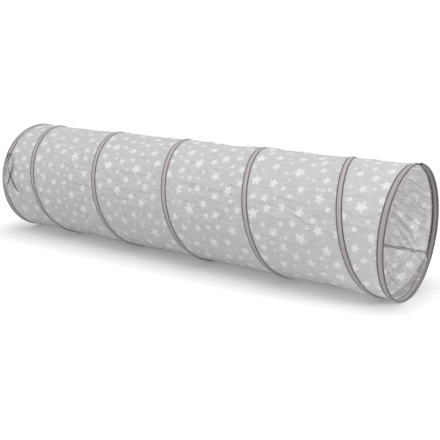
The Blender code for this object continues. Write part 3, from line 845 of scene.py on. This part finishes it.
def metal(name, grain, detail, tones, roughness, dents=None):
    """A bare metal, mottled in two tones and two roughnesses, with or without fine dents."""
    material, tree = new_material(name)
    place = add_node(tree, "ShaderNodeTexCoord").outputs["Object"]
    cloud = add_node(tree, "ShaderNodeTexNoise", {"Vector": place, "Scale": 1 / grain, "Detail": detail})
    shades = {0: cloud.outputs[0], 6: srgb(tones[0]), 7: srgb(tones[1])}
    tone = add_node(tree, "ShaderNodeMix", shades, data_type="RGBA")
    span = {"Value": cloud.outputs[0], "To Min": roughness[0], "To Max": roughness[1]}
    gloss = add_node(tree, "ShaderNodeMapRange", span)
    surface = {"Base Color": tone.outputs[2], "Metallic": 1, "Roughness": gloss.outputs[0]}
    if dents:
        marks = add_node(tree, "ShaderNodeTexNoise", {"Vector": place, "Scale": 1 / dents, "Detail": 2})
        relief = {"Height": marks.outputs[0], "Strength": 0.3, "Distance": DENT_DEPTH}
        surface["Normal"] = add_node(tree, "ShaderNodeBump", relief).outputs[0]
    bare = add_node(tree, "ShaderNodeBsdfPrincipled", surface)
    add_node(tree, "ShaderNodeOutputMaterial", {"Surface": bare.outputs[0]})
    return material


# Spring steel: drawn wire with a dark bluish oil finish, which the eye sees as uneven gloss.
OIL_PATCH = 4 * MM
steel = metal("oiled_spring_steel", OIL_PATCH, 4, ("#8E9196", "#A9ABAF"), (0.28, 0.42))

WIRE_SKIN = {
    "columns": WIRE_SIDES + 1,
    "wire_radius": WIRE_DIAMETER / 2,
    "wire_height": WIRE_RING_RADIUS - CLOTH_RADIUS,
    "material": steel,
}
spring = grow(
    "spring_wire",
    wire_tree,
    rows=int(WIRE_ROWS_PER_TURN * (SPIRAL_TURNS + 2 * WIRE_PAST_START / math.tau)),
    tip_rows=1.0,
    begin=SPIRAL_START - WIRE_PAST_START,
    end=SPIRAL_END + WIRE_PAST_START,
    **WIRE_SKIN,
    **sizes_of(tuck=HALF_LENGTH),
)
fold_with_tunnel(spring)
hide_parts(*[f"spiral_wire_{n}" for n in SECTIONS])


# Spiral tape: a taupe woven tape, sewn down along both its edges round the outside of the
# cloth, so that it makes a tunnel for the wire. Its ends run out under the hoops' tape.
TAPE_THICKNESS = 0.5 * MM
ARCH_HALF_WIDTH, ARCH_HEIGHT = 4.6 * MM, 3.0 * MM
TAPE_ROWS_PER_TURN, TAPE_COLUMNS = 144, 28
TAPE_PAST_START = RUN_OUT * 0.58
# The tape's puckers: their height, their noise scale a radian, and radians a metre across
TAPE_PUCKER, PUCKER_SCALE, PUCKER_ACROSS = 0.7 * MM, 9, 60
LAST_COLUMN = -0.4999

# A grid stands for the tape too. It is folded along its middle into an upper and a lower skin,
# which meet along both edges, and its middle arches over the wire.
tape_tree, given, made, net, known = grid_tree(
    "sewn_tape", "Width", "Thickness", "Arch Half Width", "Arch Height", "Pucker"
)
for name, operation, *terms in (
    ("both skins", "MULTIPLY", "Y", 2),
    ("folded", "ABSOLUTE", "both skins"),
    ("from middle", "SUBTRACT", 0.5, "folded"),
    ("across", "MULTIPLY", "from middle", "Width"),
    ("aside", "ABSOLUTE", "across"),
    ("arch share", "DIVIDE", "aside", "Arch Half Width"),
    ("arch kept", "MINIMUM", "arch share", 1),
    ("arch turn", "MULTIPLY", "arch kept", math.pi),
    ("arch cosine", "COSINE", "arch turn"),
    ("arch", "MULTIPLY_ADD", "arch cosine", 0.5, 0.5),
    ("upper", "LESS_THAN", "Y", 0),
    ("off the edge", "GREATER_THAN", "Y", LAST_COLUMN),
    ("on top", "MULTIPLY", "upper", "off the edge"),
    ("skin", "MULTIPLY", "on top", "Thickness"),
    ("up", "MULTIPLY_ADD", "arch", "Arch Height", "skin"),
    ("pucker across", "MULTIPLY", "across", PUCKER_ACROSS),
    ("walked", "MULTIPLY", "along", "Ring Radius"),
):
    inputs = {i: known.get(term, term) for i, term in enumerate(terms)}
    known[name] = add_node(tape_tree, "ShaderNodeMath", inputs, operation=operation).outputs[0]
about = {"X": known["along"], "Y": known["pucker across"]}
about = add_node(tape_tree, "ShaderNodeCombineXYZ", about)
rough = {"Vector": about.outputs[0], "Scale": PUCKER_SCALE, "Detail": 2}
uneven = add_node(tape_tree, "ShaderNodeTexNoise", rough)
terms = {0: uneven.outputs[0], 1: given["Pucker"], 2: known["up"]}
height = add_node(tape_tree, "ShaderNodeMath", terms, operation="MULTIPLY_ADD")
strip = add_node(tape_tree, "ShaderNodeCombineXYZ", {"X": known["walked"], "Y": known["across"]})
mapped = add_node(
    tape_tree,
    "GeometryNodeStoreNamedAttribute",
    {"Geometry": net, "Name": "UVMap", "Value": strip.outputs[0]},
    data_type="FLOAT2",
    domain="CORNER",
)
place = known["along"], known["across"], height.outputs[0]
finish_grid(tape_tree, given, made, mapped.outputs[0], *place)

# Grosgrain tape of polyester, taupe: fine ribs across its length, matt, and with painted shade
# along the edges, where the stitching pulls it down. The real ribs are 0.7 mm apart, too
# fine to show, so they are drawn twice as coarse.
RIB = 1.4 * MM
# Where the painted edge shade begins and where it is full, out from the tape's middle
SHADED_EDGE_FROM, SHADED_EDGE_TO = 6 * MM, 8.2 * MM
MOTTLE = 25 * MM
RIB_DEPTH = 0.15 * MM
tape_cloth, tree = new_material("taupe_grosgrain_tape")
strip = add_node(tree, "ShaderNodeUVMap", uv_map="UVMap").outputs[0]
part = add_node(tree, "ShaderNodeSeparateXYZ", {0: strip})
aside = add_node(tree, "ShaderNodeMath", {0: part.outputs["Y"]}, operation="ABSOLUTE")
span = {"Value": aside.outputs[0], "From Min": SHADED_EDGE_FROM, "From Max": SHADED_EDGE_TO}
edge = add_node(tree, "ShaderNodeMapRange", span, interpolation_type="SMOOTHSTEP")
ribs = {"Vector": strip, "Scale": BAND / RIB, "Distortion": 0.8}
ribs = add_node(tree, "ShaderNodeTexWave", ribs, bands_direction="X")
mottle = add_node(tree, "ShaderNodeTexNoise", {"Vector": strip, "Scale": 1 / MOTTLE, "Detail": 3})
shades = {0: mottle.outputs[0], 6: srgb("#ACA6AA"), 7: srgb("#B8B2B5")}
middle = add_node(tree, "ShaderNodeMix", shades, data_type="RGBA")
# Painted shade along both edges of the tape
shades = {0: edge.outputs[0], 6: middle.outputs[2], 7: srgb("#59525A")}
toned = add_node(tree, "ShaderNodeMix", shades, data_type="RGBA")
relief = {"Height": ribs.outputs["Fac"], "Strength": 0.35, "Distance": RIB_DEPTH}
ridge = add_node(tree, "ShaderNodeBump", relief)
surface = {"Base Color": toned.outputs[2], "Roughness": 0.8, "Sheen Weight": 0.1}
fibre = add_node(tree, "ShaderNodeBsdfPrincipled", surface | {"Normal": ridge.outputs[0]})
add_node(tree, "ShaderNodeOutputMaterial", {"Surface": fibre.outputs[0]})

spiral_tape = grow(
    "spiral_tape",
    tape_tree,
    rows=int(TAPE_ROWS_PER_TURN * (SPIRAL_TURNS + 2 * TAPE_PAST_START / math.tau)),
    columns=TAPE_COLUMNS + 1,
    width=CASING_WIDTH,
    thickness=TAPE_THICKNESS,
    arch_half_width=ARCH_HALF_WIDTH,
    arch_height=ARCH_HEIGHT,
    pucker=TAPE_PUCKER,
    material=tape_cloth,
    begin=SPIRAL_START - TAPE_PAST_START,
    end=SPIRAL_END + TAPE_PAST_START,
    **sizes_of(),
)
fold_with_tunnel(spiral_tape)
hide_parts(*[f"spiral_casing_{n}" for n in SECTIONS])

# Stitches: two rows of dark lockstitch, close to the tape's edges, with the fuller bobbin thread
# inside the tunnel. Each stitch is a long bead, turned to where the row is going.
STITCH_LENGTH, STITCH_PITCH, THREAD_DIAMETER = 2.8 * MM, 3.6 * MM, 0.55 * MM
STITCH_INSET, STITCH_LIFT = 1.6 * MM, 0.3 * MM
STITCH_SHORTEST, STITCH_LONGEST = 0.85, 1.1
# The angle from a stitch to where its row is seen to be going
STITCH_AIM = 0.004
BEAD_SIDES, BEAD_RINGS = 6, 4
BOBBIN_WEIGHT = 2.2
STITCH_SEED = 3

stitch_tree, given, made = new_tree(
    "stitch_rows",
    ("Begin", "End", "First Row", "Second Row", "Stitch Length", "Thread", "Height", *SPIRAL_SIZES),
    {"Count": "Int", "Seed": "Int", "Material": "Material"},
    {"Geometry": "Geometry"},
)
size = {"Segments": BEAD_SIDES, "Rings": BEAD_RINGS, "Radius": 0.5}
bead = add_node(stitch_tree, "GeometryNodeMeshUVSphere", size)
size = {"X": given["Stitch Length"], "Y": given["Thread"], "Z": given["Thread"]}
size = add_node(stitch_tree, "ShaderNodeCombineXYZ", size)
stitch = {"Geometry": bead.outputs[0], "Scale": size.outputs[0]}
stitch = add_node(stitch_tree, "GeometryNodeTransform", stitch)
joined = add_node(stitch_tree, "GeometryNodeJoinGeometry")
for label in ("First Row", "Second Row"):
    line = {"Count": given["Count"], "Offset": (0, 0, 0)}
    line = add_node(stitch_tree, "GeometryNodeMeshLine", line)
    share = {0: add_node(stitch_tree, "GeometryNodeInputIndex").outputs[0], 1: given["Count"]}
    share = add_node(stitch_tree, "ShaderNodeMath", share, operation="DIVIDE")
    span = {"Value": share.outputs[0], "To Min": given["Begin"], "To Max": given["End"]}
    along = add_node(stitch_tree, "ShaderNodeMapRange", span)
    spots = []
    for push in (0, STITCH_AIM, -STITCH_AIM):
        shifted = {0: along.outputs[0], 1: push}
        shifted = add_node(stitch_tree, "ShaderNodeMath", shifted, operation="ADD").outputs[0]
        spots.append(on_cloth(stitch_tree, given, shifted, given[label], given["Height"]))
    placed = {"Geometry": line.outputs[0], "Position": spots[0]}
    placed = add_node(stitch_tree, "GeometryNodeSetPosition", placed)
    going = {0: spots[1], 1: spots[2]}
    going = add_node(stitch_tree, "ShaderNodeVectorMath", going, operation="SUBTRACT").outputs[0]
    turned = add_node(stitch_tree, "FunctionNodeAlignRotationToVector", {"Vector": going}, axis="X")
    uneven = {2: STITCH_SHORTEST, 3: STITCH_LONGEST, "Seed": given["Seed"]}
    uneven = add_node(stitch_tree, "FunctionNodeRandomValue", uneven, data_type="FLOAT")
    row = {"Points": placed.outputs[0], "Instance": stitch.outputs[0]}
    row |= {"Rotation": turned.outputs[0], "Scale": uneven.outputs[1]}
    row = add_node(stitch_tree, "GeometryNodeInstanceOnPoints", row)
    stitch_tree.links.new(row.outputs[0], joined.inputs[0])
real = add_node(stitch_tree, "GeometryNodeRealizeInstances", {"Geometry": joined.outputs[0]})
finish_tree(stitch_tree, real.outputs[0], given, made)

STITCHING = {"stitch_length": STITCH_LENGTH, "seed": STITCH_SEED, "material": thread}
spiral_run = (SPIRAL_END - SPIRAL_START) * math.hypot(CLOTH_RADIUS, SPIRAL_LEAD)
for name, height, weight in (
    ("spiral_stitches", TAPE_THICKNESS + STITCH_LIFT, 1),
    ("spiral_stitches_inside", -CLOTH_THICKNESS - STITCH_LIFT, BOBBIN_WEIGHT),
):
    rows = grow(
        name,
        stitch_tree,
        count=int(spiral_run / STITCH_PITCH),
        first_row=CASING_WIDTH / 2 - STITCH_INSET,
        second_row=STITCH_INSET - CASING_WIDTH / 2,
        thread=THREAD_DIAMETER * weight,
        height=height,
        begin=SPIRAL_START,
        end=SPIRAL_END,
        **STITCHING,
        **sizes_of(),
    )
    fold_with_tunnel(rows)


# End hoops: the wire's last turn closes on itself in a crimped steel ferrule, and the same
# tape is folded round the cloth's edge and the wire, with a short lap where its ends meet.
HOOP_SIDES = {"far": -1, "near": 1}
HOOP_STEPS = 256
BINDING_WIDTH, INNER_LEG, TUCKED_LEG = 25 * MM, 18.8 * MM, 6.5 * MM
OUTER_LEG = BINDING_WIDTH - (HALF_LENGTH - WIRE_PLANE)
OUTER_POINTS, BEND_POINTS, INNER_POINTS = 14, 9, 5
BEND_RADIUS, BEND_WIDENING = 1.9 * MM, 1.2
BEND_FIRST, BEND_TURN = math.radians(75), math.radians(165)
OUTER_STOP, INNER_START = 0.6 * BEND_RADIUS, 0.4 * BEND_RADIUS
WIRE_SLACK, CLOTH_SLACK = 0.15 * MM, 0.1 * MM
FERRULE_ANGLE = math.radians(348.75)
FERRULE_LUMP, FERRULE_REACH = 0.45 * MM, 13 * MM
ROW_OFF_WIRE = ARCH_HALF_WIDTH + 0.4 * MM
# Where the lap lies, in degrees round the tunnel, and how its free end curls up
LAP = {"far": (196, 234), "near": (350.1, 440.3)}
CURL, CURL_ARC = 2 * MM, math.radians(3.5)


def spiral_centre(side, angle):
    """Where the spiral's line lies, in from an end's wire plane, near that end's hoop."""
    turned = angle - SPIRAL_START if side < 0 else SPIRAL_END - angle
    return SPIRAL_LEAD * float(run_out(np.mod(turned + math.pi, math.tau) - math.pi))


def arch(offset):
    """How high a tape stands over the wire, at a distance from the wire's middle."""
    return ARCH_HEIGHT * (1 + math.cos(math.pi * min(1, offset / ARCH_HALF_WIDTH))) / 2


def binding_line(end, angle, lift):
    """The middle of the tape's thickness round the hoop: insets from the wire's plane, and radii."""
    run = spiral_centre(HOOP_SIDES[end], angle)
    hidden = 0 if lift else float(tucked(end, angle))
    outer, inner = OUTER_LEG, INNER_LEG
    if end == "near":
        inner += (TUCKED_LEG - inner) * hidden
    else:
        outer += (TUCKED_LEG - outer) * hidden
    line = []
    for i in range(OUTER_POINTS):
        inset = outer - (outer - OUTER_STOP) * i / (OUTER_POINTS - 1)
        off = abs(inset - run)
        under = 0
        if off < CASING_WIDTH / 2:
            under = arch(off) + TAPE_THICKNESS * min(1, (CASING_WIDTH / 2 - off) / MM)
        line.append((inset, CLOTH_RADIUS + TAPE_THICKNESS / 2 + max(arch(inset), under) + lift))
    middle = WIRE_RING_RADIUS + WIRE_SLACK
    from_ferrule = math.remainder(angle - FERRULE_ANGLE, math.tau) * CLOTH_RADIUS
    bend = BEND_RADIUS + lift + FERRULE_LUMP * math.exp(-((from_ferrule / FERRULE_REACH) ** 2))
    for i in range(BEND_POINTS):
        a = BEND_FIRST - BEND_TURN * i / (BEND_POINTS - 1)
        line.append((-bend * math.cos(a) * BEND_WIDENING, middle + bend * math.sin(a)))
    radius = CLOTH_RADIUS - CLOTH_THICKNESS - TAPE_THICKNESS / 2 - CLOTH_SLACK - lift
    return line + [(inner * (i + 1) / INNER_POINTS - INNER_START, radius) for i in range(INNER_POINTS)]


# Where each line of the folded section lies across the tape, from its middle, in tape widths:
# the outer leg, the fold over the wire, which takes the tape's painted edge shade, and the inner
# leg, set partway into that painted shade for the shade inside the tunnel.
BEND_TONE, BEND_DARKENING = -0.36, 0.14
HOOP_TONE = [*np.linspace(0.5, BEND_TONE, OUTER_POINTS)]
HOOP_TONE += [BEND_TONE - BEND_DARKENING * math.sin(a) for a in np.linspace(0, math.pi, BEND_POINTS)]
# The inner leg: painted shade inside the tunnel, short of the full edge shade
HOOP_TONE += [-0.33, -0.31, -0.31, -0.33, -0.5]


def tape_round_hoop(name, end, angles, lift, closed):
    """Sweeps the tape's folded section round a hoop and gives it its thickness."""
    shape = bmesh.new()
    rings = []
    for a in angles:
        curl = 0 if closed else CURL * max(0, 1 - (angles[-1] - a) / CURL_ARC) ** 2
        ring = [
            (HOOP_SIDES[end] * (WIRE_PLANE - inset), r * math.cos(a), AXIS_HEIGHT + r * math.sin(a))
            for inset, r in binding_line(end, a, lift + curl)
        ]
        rings.append([shape.verts.new(corner) for corner in ring])
    layer = shape.loops.layers.uv.new("UVMap")
    last = len(rings) - 1
    for i in range(len(rings) if closed else last):
        j = 0 if i == last else i + 1
        for k in range(len(HOOP_TONE) - 1):
            made = shape.faces.new((rings[i][k], rings[i][k + 1], rings[j][k + 1], rings[j][k]))
            made.smooth = True
            for loop, (r, c) in zip(made.loops, ((i, k), (i, k + 1), (i + 1, k + 1), (i + 1, k))):
                loop[layer].uv = (r * ROUND / HOOP_STEPS, CASING_WIDTH * HOOP_TONE[c])
    bmesh.ops.recalc_face_normals(shape, faces=shape.faces)
    shape.normal_update()
    face = min(shape.faces, key=lambda f: abs(f.calc_center_median().x))
    centre = face.calc_center_median()
    if face.normal.dot(centre - Vector((centre.x, 0, AXIS_HEIGHT))) < 0:
        bmesh.ops.reverse_faces(shape, faces=shape.faces)
    mesh = bpy.data.meshes.new(name)
    shape.to_mesh(mesh)
    shape.free()
    mesh.materials.append(tape_cloth)
    thick = add_object(name + "_thin", mesh)
    wall = thick.modifiers.new("thickness", "SOLIDIFY")
    wall.thickness = TAPE_THICKNESS
    wall.offset = 0
    return add_object(name, settled(thick))


for end, side in HOOP_SIDES.items():
    body = f"{end}_end"
    whole = [math.tau * i / HOOP_STEPS for i in range(HOOP_STEPS)]
    tape = tape_round_hoop(f"{end}_hoop_tape", end, whole, 0, True)
    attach(tape, body)
    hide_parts(f"{end}_end_binding")
    start, stop = (math.radians(bearing) for bearing in LAP[end])
    steps = int((stop - start) / math.tau * HOOP_STEPS)
    overlap = [start + (stop - start) * i / steps for i in range(steps + 1)]
    lap = tape_round_hoop(f"{end}_hoop_lap", end, overlap, TAPE_THICKNESS, False)
    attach(lap, body)
    hoop = sizes_of(begin=0.0, end=math.tau, lead=0.0, hoop_plane=-side * WIRE_PLANE, tuck=HALF_LENGTH)
    name = f"{end}_hoop_spring"
    ring = grow(name, wire_tree, rows=HOOP_STEPS + 1, tip_rows=0.0, **WIRE_SKIN, **hoop)
    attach(ring, body)
    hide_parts(f"{end}_hoop_wire")
    rows = grow(
        f"{end}_hoop_stitches",
        stitch_tree,
        count=int(ROUND / STITCH_PITCH),
        first_row=-side * (OUTER_LEG - STITCH_INSET),
        second_row=-side * ROW_OFF_WIRE,
        thread=THREAD_DIAMETER,
        height=TAPE_THICKNESS,
        **STITCHING,
        **hoop,
    )
    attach(rows, body)

# Zinc-plated steel of the ferrules: bright, slightly cloudy, with marks of the crimping tool.
PLATING_CLOUD, CRIMP_MARK = 3 * MM, 1.2 * MM
zinc = metal("zinc_plated_steel", PLATING_CLOUD, 3, ("#B4B6B9", "#CCCED0"), (0.3, 0.5), CRIMP_MARK)
for end in HOOP_SIDES:
    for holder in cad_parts[f"{end}_hoop_ferrule"].material_slots:
        holder.material = zinc
